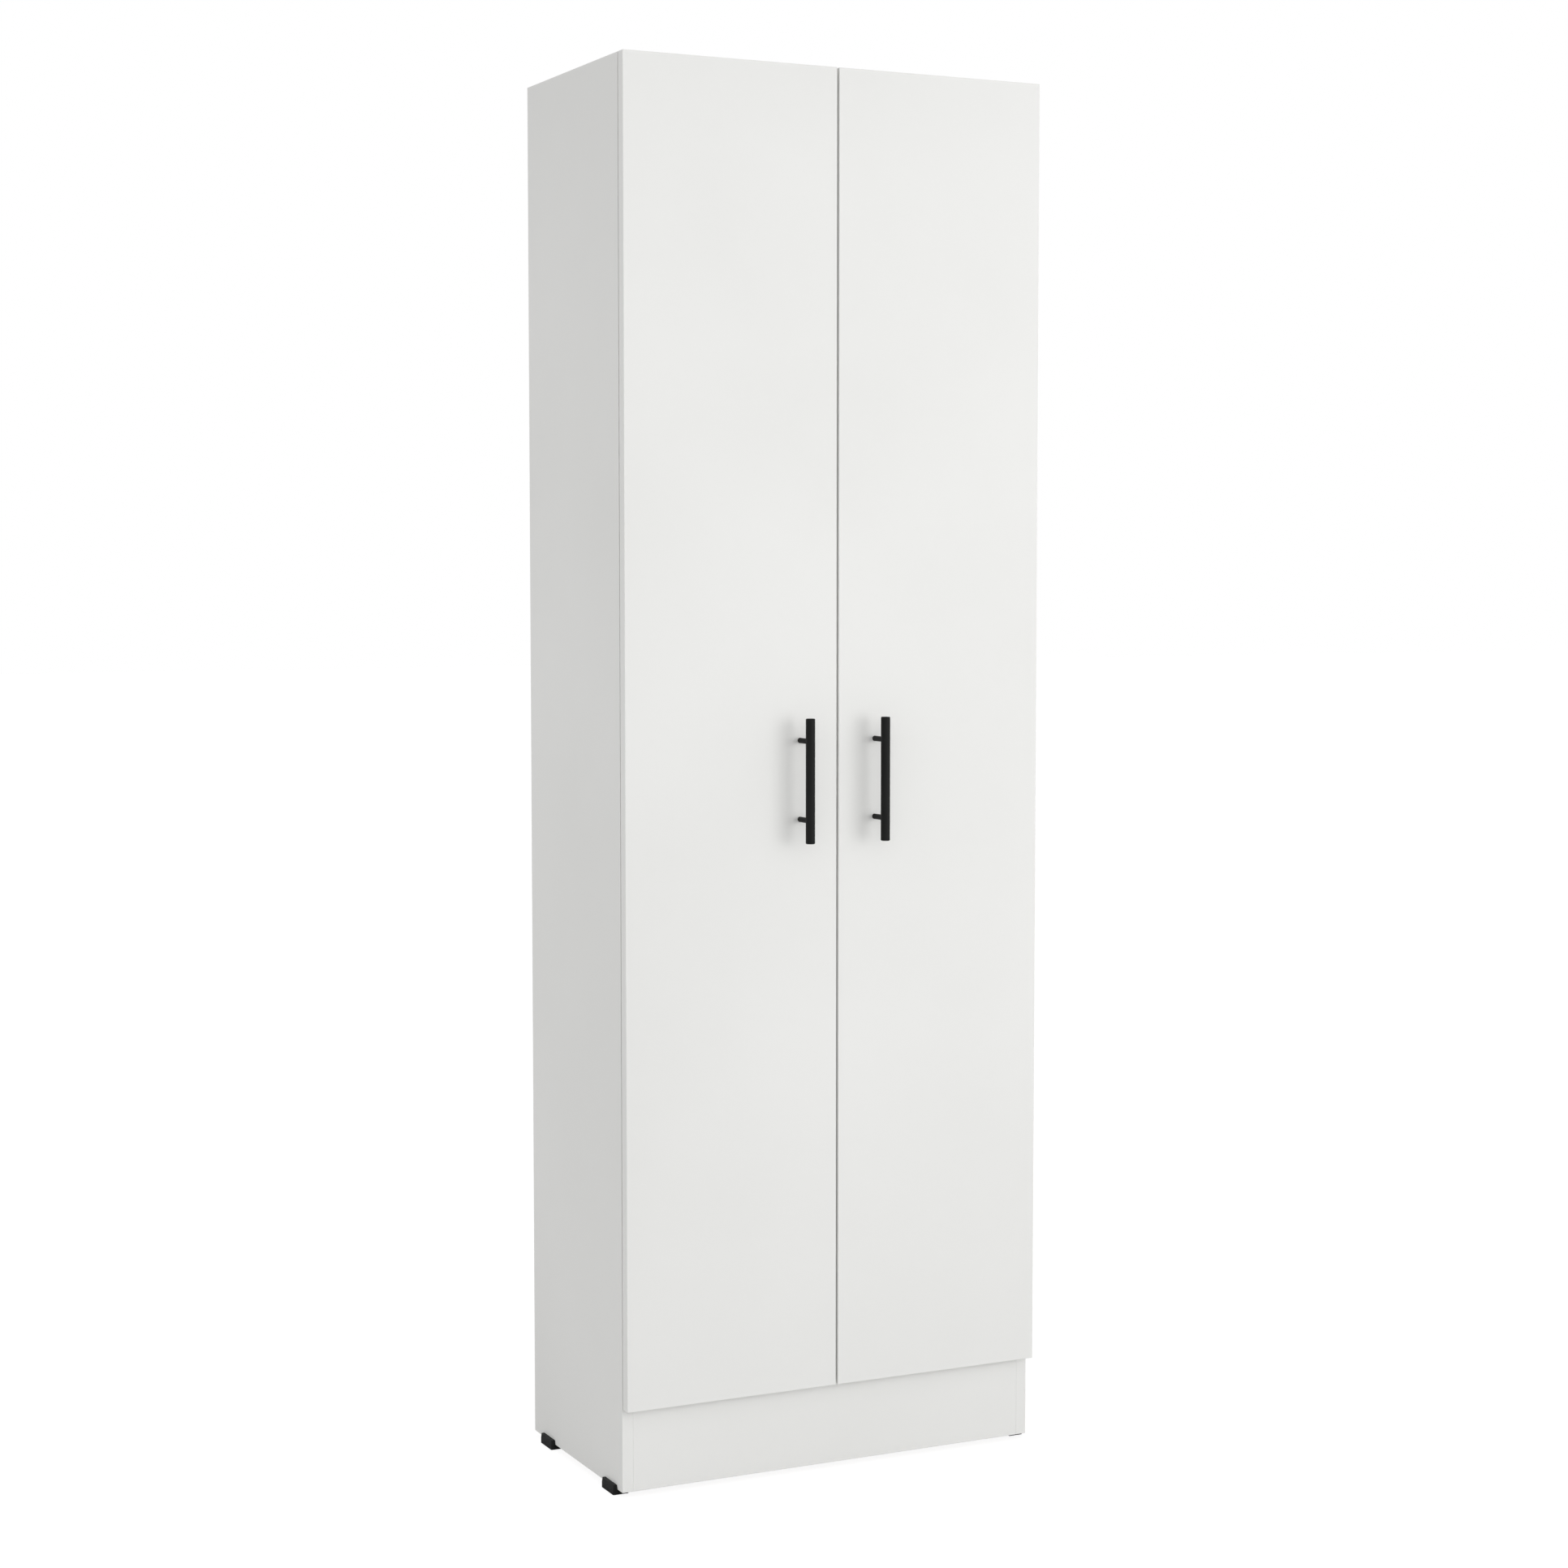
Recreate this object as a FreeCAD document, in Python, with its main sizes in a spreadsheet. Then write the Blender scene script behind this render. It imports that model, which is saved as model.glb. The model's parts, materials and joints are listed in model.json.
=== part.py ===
import FreeCAD, Part
import os

import Sketcher

# A tall flat-pack broom cupboard with two doors, in millimetres.
# +Z is up, the doors face -Y, and the origin is on the floor at the middle of the footprint.

# Driving sizes
SIZES = {
    # carcass boards
    "cupboard_width": 598,
    "side_height": 1820,
    "carcass_depth": 308,
    "board_thick": 15,
    "edge_round": 0.6,
    "plinth_height": 108,
    "lower_bay_height": 1350,
    "shelf_front_inset": 14,
    "shelf_back_clear": 2,
    # loose shelves on pins
    "loose_shelf_count": 3,
    "loose_shelf_inset": 6,
    "loose_shelf_side_clear": 1.5,
    "pin_diameter": 5,
    "pin_depth": 8,
    "pin_tab_length": 9,
    "pin_tab_width": 7,
    "pin_tab_height": 3,
    "pin_row_inset": 37,
    "pin_pitch": 32,
    # back board in two leaves with a joining strip
    "back_thick": 3,
    "groove_depth": 6,
    "groove_inset": 10,
    "groove_slack": 0.2,
    "strip_width": 24,
    "strip_skin": 1,
    "strip_web": 1.6,
    # doors
    "door_thick": 15,
    "door_standoff": 2.5,
    "door_lift": 109,
    "door_gap": 3,
    "bumper_diameter": 8,
    "bumper_clear": 0.2,
    "bumper_edge_inset": 12,
    # bar handles
    "bar_diameter": 12,
    "bar_length": 161,
    "bar_chamfer": 0.8,
    "bar_reach": 30,
    "bar_socket_depth": 3,
    "post_diameter": 7,
    "post_spacing": 102,
    "handle_edge_inset": 52.9,
    "handle_height": 909,
    # concealed hinges
    "hinge_count": 4,
    "hinge_end_inset": 100,
    "hinge_axis_inset": 6.4,
    "hinge_axis_depth": 8.2,
    "hinge_pin_diameter": 2.5,
    "hinge_pin_length": 16,
    "hinge_eye_diameter": 4.2,
    "hinge_eye_width": 5,
    "cup_diameter": 35,
    "cup_edge": 3,
    "cup_depth": 11.5,
    "cup_wall": 0.8,
    "cup_notch_depth": 4,
    "cup_rim_diameter": 37,
    "cup_rim_thick": 1,
    "cup_wing_span": 62,
    "cup_wing_width": 13,
    "cup_screw_spacing": 45,
    "cup_screw_offset": 9.5,
    "arm_thick": 2.2,
    "arm_width": 11,
    "arm_length": 62,
    "arm_offset": 4.5,
    "plate_setback": 37,
    "plate_length": 46,
    "plate_block_width": 16,
    "plate_wing_thick": 2,
    "plate_wing_width": 12,
    "plate_span": 50,
    "plate_screw_spacing": 32,
    # feet
    "foot_height": 7,
    "foot_length": 43,
    "foot_lip_height": 6,
    "foot_lip_length": 39,
    "foot_lip_top": 4.6,
    "foot_lip_base": 5.4,
    "foot_round": 4,
    "foot_corner": 2,
    "foot_front_inset": 37.5,
    "foot_back_inset": 54.5,
    "nail_diameter": 2,
    "nail_length": 18,
    "nail_head_diameter": 5,
    "nail_head_height": 1.2,
    "nail_spacing": 24,
    # dowels and cam fittings
    "dowel_diameter": 8,
    "dowel_length": 30,
    "dowel_side_depth": 10,
    "dowel_end_slack": 1,
    "cam_diameter": 15,
    "cam_height": 12,
    "cam_pocket_depth": 12.5,
    "cam_setback": 34,
    "cam_edge_inset": 45,
    "cam_dowel_spacing": 32,
    "cam_cross_width": 1.6,
    "cam_cross_depth": 2,
    "cam_bolt_diameter": 5,
    "cam_bolt_side_depth": 11,
    "cam_collar_diameter": 7,
    "cam_collar_length": 3,
    "cam_head_diameter": 7,
    "cam_head_length": 3,
    "cam_bore_diameter": 8,
    # screws
    "screw_diameter": 4,
    "cup_screw_length": 11,
    "plate_screw_length": 13,
    "bracket_screw_length": 12,
    "handle_screw_grip": 13,
    "screw_head_diameter": 7.6,
    "screw_head_height": 2.4,
    "recess_width": 1,
    "recess_length": 4,
    "recess_depth": 1.2,
    # wall brackets
    "bracket_spacing": 400,
    "bracket_width": 20,
    "bracket_leg": 30,
    "bracket_thick": 2,
    "bracket_hole_inset": 18,
    "wall_hole_diameter": 6,
    # fits and cuts
    "fit_clear": 0.05,
    "free_clear": 0.3,
    "overrun": 2,
}

# The finished sub-parts, in the order they are made
NODE_NAMES = []

doc = FreeCAD.newDocument("broom_cupboard")
sheet = doc.addObject("Spreadsheet::Sheet", "Sizes")
for row, (alias, number) in enumerate(SIZES.items(), start=1):
    sheet.set(f"A{row}", str(number))
    sheet.setAlias(f"A{row}", alias)
doc.recompute()


class Size:
    """A length with its value and the sheet expression that drives it."""

    def __init__(self, text, value):
        self.text = text
        self.value = value

    def __add__(self, other):
        other = as_size(other)
        return Size(f"({self.text} + {other.text})", self.value + other.value)

    def __sub__(self, other):
        other = as_size(other)
        return Size(f"({self.text} - {other.text})", self.value - other.value)

    def __mul__(self, factor):
        return Size(f"({self.text} * {factor})", self.value * factor)

    def __truediv__(self, factor):
        return Size(f"({self.text} / {factor})", self.value / factor)

    def __neg__(self):
        return Size(f"(-{self.text})", -self.value)


def as_size(item):
    """A Size as it is, or a plain number as a Size."""
    return item if isinstance(item, Size) else Size(repr(item), item)


def size(alias):
    """The driving size of that name."""
    return Size(f"Sizes.{alias}", SIZES[alias])


ZERO = Size("0", 0)
FIT = size("fit_clear")
FREE = size("free_clear")
OVERRUN = size("overrun")


def bind(item, **properties):
    """Drive an object's properties from the sheet."""
    for name, value in properties.items():
        item.setExpression(name, as_size(value).text)


def place(item, x, y, z):
    """Drive an object's position from the sheet."""
    for axis, value in zip("xyz", (x, y, z)):
        item.setExpression(f"Placement.Base.{axis}", as_size(value).text)


def node(item, label):
    """Give a finished sub-part the name that its file carries."""
    item.Label = label
    NODE_NAMES.append(item.Name)
    return item


def box(x, y, z, dx, dy, dz):
    """A block with its low corner at x, y, z."""
    item = doc.addObject("Part::Box", "block")
    bind(item, Length=dx, Width=dy, Height=dz)
    place(item, x, y, z)
    return item


TURNS = {
    "+x": FreeCAD.Rotation(FreeCAD.Vector(0, 1, 0), 90),
    "-x": FreeCAD.Rotation(FreeCAD.Vector(0, 1, 0), -90),
    "+y": FreeCAD.Rotation(FreeCAD.Vector(1, 0, 0), -90),
    "-y": FreeCAD.Rotation(FreeCAD.Vector(1, 0, 0), 90),
    "+z": FreeCAD.Rotation(),
    "-z": FreeCAD.Rotation(FreeCAD.Vector(1, 0, 0), 180),
}


def rod(x, y, z, diameter, length, along="+z"):
    """A round bar that starts at x, y, z and runs along an axis."""
    item = doc.addObject("Part::Cylinder", "rod")
    item.Placement = FreeCAD.Placement(FreeCAD.Vector(), TURNS[along])
    bind(item, Radius=as_size(diameter) / 2, Height=length)
    place(item, x, y, z)
    return item


def fuse(items):
    """Several shapes as one."""
    if len(items) == 1:
        return items[0]
    item = doc.addObject("Part::MultiFuse", "joined")
    item.Shapes = items
    return item


def cut(base, tools):
    """A shape with others taken out of it."""
    item = doc.addObject("Part::Cut", "cut")
    item.Base = base
    item.Tool = fuse(tools)
    return item


def group(items, label):
    """Like pieces that share one node, each a solid of its own."""
    item = doc.addObject("Part::Compound", "set")
    item.Links = items
    return node(item, label)


def origin_plane(body, role):
    """One of a body's own origin planes."""
    return next(feature for feature in body.Origin.OriginFeatures if feature.Role == role)


def outline(body, role, points):
    """A closed sketch of straight lines whose corners are driven from the sheet."""
    sketch = body.newObject("Sketcher::SketchObject", "outline")
    sketch.AttachmentSupport = [(origin_plane(body, role), "")]
    sketch.MapMode = "FlatFace"
    corners = [FreeCAD.Vector(across.value, up.value, 0) for across, up in points]
    for index, corner in enumerate(corners):
        sketch.addGeometry(Part.LineSegment(corner, corners[(index + 1) % len(corners)]))
    for index in range(len(corners)):
        following = (index + 1) % len(corners)
        sketch.addConstraint(Sketcher.Constraint("Coincident", index, 2, following, 1))
    for index, (across, up) in enumerate(points):
        for kind, coordinate, axis in (("DistanceX", across, -2), ("DistanceY", up, -1)):
            if coordinate is ZERO:
                sketch.addConstraint(Sketcher.Constraint("PointOnObject", index, 1, axis))
                continue
            rule = Sketcher.Constraint(kind, -1, 1, index, 1, coordinate.value)
            number = sketch.addConstraint(rule)
            sketch.setExpression(f"Constraints[{number}]", coordinate.text)
    return sketch


def padded(role, points, length):
    """A body made by padding an outline evenly to both sides of its plane."""
    body = doc.addObject("PartDesign::Body", "body")
    pad = body.newObject("PartDesign::Pad", "pad")
    pad.Profile = outline(body, role, points)
    pad.SideType = "Symmetric"
    bind(pad, Length=length)
    doc.recompute()
    return body


def rounded(body, radius, edges=None):
    """Round a body's edges, all of them unless some are named."""
    tip = body.Tip
    fillet = body.newObject("PartDesign::Fillet", "round")
    fillet.Base = (tip, edges or [])
    fillet.UseAllEdges = edges is None
    bind(fillet, Radius=radius)
    doc.recompute()
    return body


def board(x, y, z, dx, dy, dz):
    """A sheet of board with softly rounded edges and its low corner at x, y, z."""
    half = as_size(dx) / 2
    rise = as_size(dz)
    points = [(-half, ZERO), (half, ZERO), (half, rise), (-half, rise)]
    body = rounded(padded("XZ_Plane", points, dy), size("edge_round"))
    place(body, x + half, y + as_size(dy) / 2, z)
    return body


def screw(x, y, z, length, along):
    """A pan-head screw with its head's seat at x, y, z and its shank running along an axis."""
    away = {"+": "-", "-": "+"}[along[0]] + along[1]
    head_height = size("screw_head_height")
    sign = -1 if along[0] == "+" else 1
    shift = [head_height * sign if axis == along[1] else ZERO for axis in "xyz"]
    top = [as_size(start) + step for start, step in zip((x, y, z), shift)]
    head = rod(x, y, z, size("screw_head_diameter"), head_height, away)
    shank = rod(x, y, z, size("screw_diameter"), length, along)
    return cut(fuse([head, shank]), recess(top, along))


def recess(top, along):
    """The cross-shaped driver recess in a screw head whose outer face is at top."""
    width, reach, depth = size("recess_width"), size("recess_length"), size("recess_depth")
    blades = []
    for long_axis in [axis for axis in "xyz" if axis != along[1]]:
        extent = {axis: width for axis in "xyz"}
        extent[long_axis] = reach
        extent[along[1]] = depth * 2
        corner = [centre - extent[axis] / 2 for centre, axis in zip(top, "xyz")]
        blades.append(box(*corner, extent["x"], extent["y"], extent["z"]))
    return blades


# Main planes of the cupboard
HALF_WIDTH = size("cupboard_width") / 2
BOARD = size("board_thick")
INNER_HALF = HALF_WIDTH - BOARD
INNER_WIDTH = INNER_HALF * 2
HANDLE_REACH = size("bar_reach") + size("bar_diameter") / 2
DEPTH = HANDLE_REACH + size("door_thick") + size("door_standoff") + size("carcass_depth")
DOOR_FRONT = HANDLE_REACH - DEPTH / 2
DOOR_BACK = DOOR_FRONT + size("door_thick")
CASE_FRONT = DOOR_BACK + size("door_standoff")
CASE_BACK = CASE_FRONT + size("carcass_depth")
BASE = size("foot_height")
TOP = BASE + size("side_height")
FLOOR_UNDER = BASE + size("plinth_height")
FLOOR_TOP = FLOOR_UNDER + BOARD
FIXED_UNDER = FLOOR_TOP + size("lower_bay_height")
TOP_UNDER = TOP - BOARD
GROOVE_WIDTH = size("back_thick") + size("groove_slack")
GROOVE_FRONT = CASE_BACK - size("groove_inset") - GROOVE_WIDTH
BACK_FRONT = GROOVE_FRONT + size("groove_slack") / 2
SHELF_FRONT = CASE_FRONT + size("shelf_front_inset")
SHELF_BACK = BACK_FRONT - size("shelf_back_clear")
SHELF_DEPTH = SHELF_BACK - SHELF_FRONT
DIVIDER_LEFT = -BOARD / 2
DIVIDER_RIGHT = BOARD / 2
DOOR_BOTTOM = BASE + size("door_lift")
DOOR_HEIGHT = TOP - DOOR_BOTTOM
DOOR_WIDTH = HALF_WIDTH - size("door_gap") / 2
SIDES = {"left": -1, "right": 1}


def outward(side, inset):
    """The x of a plane that lies some way in from a side's outer face."""
    return (HALF_WIDTH - inset) * SIDES[side]


def span(side, near, far):
    """The low x of a block that lies between two insets from a side's outer face."""
    return outward(side, near if side == "left" else far)


def toward(side):
    """The axis that points from the middle to a side's outer face."""
    return "-x" if side == "left" else "+x"


def inward(side):
    """The axis that points from a side's outer face to the middle."""
    return "+x" if side == "left" else "-x"


# Where dowels and cam fittings sit along the depth of a board
def cam_rows(front, back):
    """The y of the cam fittings near a board's front and back edges."""
    return [front + size("cam_edge_inset"), back - size("cam_edge_inset")]


def dowel_rows(front, back):
    """The y of the dowels, one step in from the cam fittings."""
    front_row, back_row = cam_rows(front, back)
    return [front_row + size("cam_dowel_spacing"), back_row - size("cam_dowel_spacing")]


FLAT_BOARDS = {
    "top_panel": (TOP_UNDER, CASE_FRONT, GROOVE_FRONT),
    "fixed_shelf": (FIXED_UNDER, SHELF_FRONT, SHELF_BACK),
    "bottom_panel": (FLOOR_UNDER, CASE_FRONT, GROOVE_FRONT),
}
DOWEL_HOLE = size("dowel_diameter") + FIT * 2
DOWEL_END_DEPTH = size("dowel_length") - size("dowel_side_depth") + size("dowel_end_slack")
PLINTH_MIDDLE = CASE_FRONT + BOARD / 2
PLINTH_CAM_HEIGHT = BASE + size("plinth_height") / 2
PLINTH_DOWEL_HEIGHTS = [
    PLINTH_CAM_HEIGHT - size("cam_dowel_spacing"),
    PLINTH_CAM_HEIGHT + size("cam_dowel_spacing"),
]


def joint_rows():
    """Each dowel and cam fitting on one side: its y, its z and how its cam faces."""
    cams, dowels = [], []
    for under, front, back in FLAT_BOARDS.values():
        middle = under + BOARD / 2
        cams += [(row, middle, "under") for row in cam_rows(front, back)]
        dowels += [(row, middle) for row in dowel_rows(front, back)]
    cams.append((PLINTH_MIDDLE, PLINTH_CAM_HEIGHT, "behind"))
    dowels += [(PLINTH_MIDDLE, height) for height in PLINTH_DOWEL_HEIGHTS]
    return cams, dowels


CAMS, SIDE_DOWELS = joint_rows()


def cam_seat(side, row, middle, facing, diameter, height):
    """A round block in a board's cam pocket, flush with the face that the pocket opens to."""
    x = outward(side, BOARD + size("cam_setback"))
    if facing == "under":
        return rod(x, row, middle - BOARD / 2, diameter, height, "+z")
    return rod(x, row + BOARD / 2, middle, diameter, height, "-y")


def end_holes(places, dowels):
    """The cuts that a board's two ends need for its cam fittings and dowels."""
    cuts = []
    for side in SIDES:
        mouth = outward(side, BOARD - OVERRUN)
        for row, middle, facing in places:
            cuts.append(cam_seat(side, row, middle, facing, size("cam_diameter"), size("cam_pocket_depth")))
            reach = size("cam_setback") + OVERRUN
            cuts.append(rod(mouth, row, middle, size("cam_bore_diameter"), reach, inward(side)))
        for row, middle in dowels:
            cuts.append(rod(mouth, row, middle, DOWEL_HOLE, DOWEL_END_DEPTH + OVERRUN, inward(side)))
    return cuts


# Loose shelves and their pins
BAY_LEFT = DIVIDER_RIGHT
BAY_RIGHT = INNER_HALF
LOOSE_FRONT = SHELF_FRONT + size("loose_shelf_inset")
LOOSE_DEPTH = SHELF_BACK - LOOSE_FRONT
PIN_ROWS = [LOOSE_FRONT + size("pin_row_inset"), SHELF_BACK - size("pin_row_inset")]
BAY_STEP = size("lower_bay_height") / (SIZES["loose_shelf_count"] + 1)
LOOSE_HEIGHTS = [FLOOR_TOP + BAY_STEP * (index + 1) for index in range(SIZES["loose_shelf_count"])]
PIN_DROP = size("pin_tab_height") / 2
PIN_HOLE = size("pin_diameter") + FIT * 2


def pin_holes(face, along):
    """Pin holes in a board's face: three at each shelf, at the front and at the back."""
    cuts = []
    for height in LOOSE_HEIGHTS:
        for row in PIN_ROWS:
            for step in (-1, 0, 1):
                level = height - PIN_DROP + size("pin_pitch") * step
                cuts.append(rod(face, row, level, PIN_HOLE, size("pin_depth") + FREE, along))
    return cuts


# Feet, with their nails
FOOT_ROWS = {
    "front": CASE_FRONT + size("foot_front_inset"),
    "rear": CASE_BACK - size("foot_back_inset"),
}
NAIL_SEAT = size("nail_head_height") * 2


def nail_places(side):
    """The x and y of the nails in a side's feet."""
    x = outward(side, BOARD / 2)
    half = size("nail_spacing") / 2
    return [(x, row + half * sign) for row in FOOT_ROWS.values() for sign in (-1, 1)]


# Concealed hinges: an arm on the side panel hooks into a cup in the door and turns on one pin
HINGE_STEP = (DOOR_HEIGHT - size("hinge_end_inset") * 2) / (SIZES["hinge_count"] - 1)
EVEN_HEIGHTS = [
    DOOR_BOTTOM + size("hinge_end_inset") + HINGE_STEP * index for index in range(SIZES["hinge_count"])
]
BOARD_SPANS = [(under, under + BOARD) for under, front, back in FLAT_BOARDS.values()]
LIFT_ROOM = BOARD + size("pin_pitch")
BOARD_SPANS += [(height - size("pin_tab_height"), height + LIFT_ROOM) for height in LOOSE_HEIGHTS]


def clears_boards(height):
    """Whether a hinge at this height stays clear of every board, with room to lift the loose shelves."""
    half = max(SIZES["plate_span"], SIZES["cup_wing_span"]) / 2 + FREE.value
    low, high = height.value - half, height.value + half
    return all(high < under.value or low > over.value for under, over in BOARD_SPANS)


def clear_height(height):
    """A hinge's even height, or the nearest place in whole pin pitches from it that clears every board."""
    most = int(DOOR_HEIGHT.value / SIZES["pin_pitch"])
    choices = [height + size("pin_pitch") * steps for steps in sorted(range(-most, most + 1), key=abs)]
    return next((choice for choice in choices if clears_boards(choice)), height)


HINGE_HEIGHTS = [clear_height(height) for height in EVEN_HEIGHTS]
CUP_MIDDLE = size("cup_edge") + size("cup_diameter") / 2
AXIS_Y = DOOR_BACK - size("hinge_axis_depth")
ARM_NEAR = BOARD + size("arm_offset") - size("arm_thick") / 2
ARM_FAR = BOARD + size("arm_offset") + size("arm_thick") / 2
PLATE_MIDDLE = CASE_FRONT + size("plate_setback")
CUP_SCREW_INSET = CUP_MIDDLE + size("cup_screw_offset")
SCREW_HOLE = size("screw_diameter") + FIT * 2


def plate_screw_heights(height):
    """The z of the two screws that hold a hinge's plate."""
    half = size("plate_screw_spacing") / 2
    return [height - half, height + half]


def cup_screw_heights(height):
    """The z of the two screws that hold a hinge's cup."""
    half = size("cup_screw_spacing") / 2
    return [height - half, height + half]


# Carcass boards
def make_side(side):
    """A side panel with its groove, pin holes, fitting holes and nail holes."""
    low = span(side, ZERO, BOARD)
    blank = board(low, CASE_FRONT, BASE, BOARD, size("carcass_depth"), size("side_height"))
    face = outward(side, BOARD)
    groove_low = span(side, BOARD - size("groove_depth"), BOARD + OVERRUN)
    groove_width = size("groove_depth") + OVERRUN
    groove_start = FLOOR_TOP - size("groove_depth")
    groove_height = TOP_UNDER + size("groove_depth") - groove_start
    cuts = [box(groove_low, GROOVE_FRONT, groove_start, groove_width, GROOVE_WIDTH, groove_height)]
    thread_hole = size("cam_bolt_diameter") + FIT * 2
    for row, middle, facing in CAMS:
        cuts.append(rod(face, row, middle, thread_hole, size("cam_bolt_side_depth") + FREE, toward(side)))
    for row, middle in SIDE_DOWELS:
        cuts.append(rod(face, row, middle, DOWEL_HOLE, size("dowel_side_depth") + FREE, toward(side)))
    for x, y in nail_places(side):
        cuts.append(rod(x, y, BASE, size("nail_diameter") + FIT * 2, size("nail_length"), "+z"))
    for height in HINGE_HEIGHTS:
        for level in plate_screw_heights(height):
            cuts.append(rod(face, PLATE_MIDDLE, level, SCREW_HOLE, size("plate_screw_length"), toward(side)))
    if side == "right":
        cuts += pin_holes(face, toward(side))
    return node(cut(blank, cuts), f"{side}_side_panel")


def bracket_places():
    """The x of the two wall brackets."""
    half = size("bracket_spacing") / 2
    return {"left": -half, "right": half}


BRACKET_SCREW_Y = BACK_FRONT - size("bracket_hole_inset")
BRACKET_HOLE_Z = TOP_UNDER - size("bracket_hole_inset")


def make_top():
    """The top panel between the sides, grooved underneath for the back."""
    blank = board(-INNER_HALF, CASE_FRONT, TOP_UNDER, INNER_WIDTH, size("carcass_depth"), BOARD)
    cuts = end_holes(flat_cams("top_panel"), flat_dowels("top_panel"))
    groove_low = TOP_UNDER - OVERRUN
    groove_rise = size("groove_depth") + OVERRUN
    cuts.append(box(-HALF_WIDTH, GROOVE_FRONT, groove_low, HALF_WIDTH * 2, GROOVE_WIDTH, groove_rise))
    for x in bracket_places().values():
        cuts.append(rod(x, BRACKET_SCREW_Y, TOP_UNDER, SCREW_HOLE, size("bracket_screw_length"), "+z"))
    return node(cut(blank, cuts), "top_panel")


def flat_cams(name):
    """The cam fittings of one flat board."""
    under, front, back = FLAT_BOARDS[name]
    return [(row, under + BOARD / 2, "under") for row in cam_rows(front, back)]


def flat_dowels(name):
    """The dowels of one flat board."""
    under, front, back = FLAT_BOARDS[name]
    return [(row, under + BOARD / 2) for row in dowel_rows(front, back)]


def divider_dowel_holes(level, along, depth):
    """Dowel holes for the divider, into a face at one height."""
    return [rod(ZERO, row, level, DOWEL_HOLE, depth, along) for row in dowel_rows(SHELF_FRONT, SHELF_BACK)]


def make_bottom():
    """The bottom panel on top of the plinth, grooved above for the back."""
    blank = board(-INNER_HALF, CASE_FRONT, FLOOR_UNDER, INNER_WIDTH, size("carcass_depth"), BOARD)
    cuts = end_holes(flat_cams("bottom_panel"), flat_dowels("bottom_panel"))
    groove_low = FLOOR_TOP - size("groove_depth")
    groove_rise = size("groove_depth") + OVERRUN
    cuts.append(box(-HALF_WIDTH, GROOVE_FRONT, groove_low, HALF_WIDTH * 2, GROOVE_WIDTH, groove_rise))
    cuts += divider_dowel_holes(FLOOR_TOP, "-z", size("dowel_side_depth") + FREE)
    return node(cut(blank, cuts), "bottom_panel")


def make_fixed_shelf():
    """The fixed shelf that ties the two sides together above the divider."""
    blank = board(-INNER_HALF, SHELF_FRONT, FIXED_UNDER, INNER_WIDTH, SHELF_DEPTH, BOARD)
    cuts = end_holes(flat_cams("fixed_shelf"), flat_dowels("fixed_shelf"))
    cuts += divider_dowel_holes(FIXED_UNDER, "+z", size("dowel_side_depth") + FREE)
    return node(cut(blank, cuts), "fixed_shelf")


def make_divider():
    """The upright divider between the broom bay and the shelf bay."""
    blank = board(DIVIDER_LEFT, SHELF_FRONT, FLOOR_TOP, BOARD, SHELF_DEPTH, size("lower_bay_height"))
    cuts = pin_holes(DIVIDER_RIGHT, "-x")
    cuts += divider_dowel_holes(FLOOR_TOP, "+z", DOWEL_END_DEPTH)
    cuts += divider_dowel_holes(FIXED_UNDER, "-z", DOWEL_END_DEPTH)
    return node(cut(blank, cuts), "divider_panel")


def make_plinth():
    """The plinth board between the sides, under the bottom panel."""
    blank = board(-INNER_HALF, CASE_FRONT, BASE, INNER_WIDTH, BOARD, size("plinth_height"))
    cams = [(PLINTH_MIDDLE, PLINTH_CAM_HEIGHT, "behind")]
    dowels = [(PLINTH_MIDDLE, height) for height in PLINTH_DOWEL_HEIGHTS]
    return node(cut(blank, end_holes(cams, dowels)), "plinth_panel")


def make_loose_shelves():
    """The loose shelves that rest on pins in the shelf bay."""
    clear = size("loose_shelf_side_clear")
    width = BAY_RIGHT - BAY_LEFT - clear * 2
    for name, height in zip(("lower", "middle", "upper"), LOOSE_HEIGHTS):
        node(board(BAY_LEFT + clear, LOOSE_FRONT, height, width, LOOSE_DEPTH, BOARD), f"{name}_shelf")


def make_pins():
    """The shelf pins, each a round stem with a flat tab under the shelf."""
    pins = []
    tab_width = size("pin_tab_width")
    for height in LOOSE_HEIGHTS:
        for row in PIN_ROWS:
            level = height - PIN_DROP
            for face, stem_way in ((BAY_LEFT, "-x"), (BAY_RIGHT, "+x")):
                stem = rod(face, row, level, size("pin_diameter"), size("pin_depth"), stem_way)
                low = face if stem_way == "-x" else face - size("pin_tab_length")
                tab_low = height - size("pin_tab_height")
                corner = (low, row - tab_width / 2, tab_low)
                tab = box(*corner, size("pin_tab_length"), tab_width, size("pin_tab_height"))
                pins.append(fuse([stem, tab]))
    group(pins, "shelf_pins")


# Back board
BACK_LOW = FLOOR_TOP - size("groove_depth") + FREE
BACK_HIGH = TOP_UNDER + size("groove_depth") - FREE
BACK_OUTER = INNER_HALF + size("groove_depth") - FREE
BACK_INNER = size("strip_web") / 2 + FREE


def make_backs():
    """The two leaves of the back board, with a hole at each wall bracket."""
    for side, x in bracket_places().items():
        width = BACK_OUTER - BACK_INNER
        low = -BACK_OUTER if side == "left" else BACK_INNER
        blank = box(low, BACK_FRONT, BACK_LOW, width, size("back_thick"), BACK_HIGH - BACK_LOW)
        hole_low = BACK_FRONT - OVERRUN
        reach = size("back_thick") + OVERRUN * 2
        hole = rod(x, hole_low, BRACKET_HOLE_Z, size("wall_hole_diameter"), reach, "+y")
        node(cut(blank, [hole]), f"{side}_back_panel")


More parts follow.
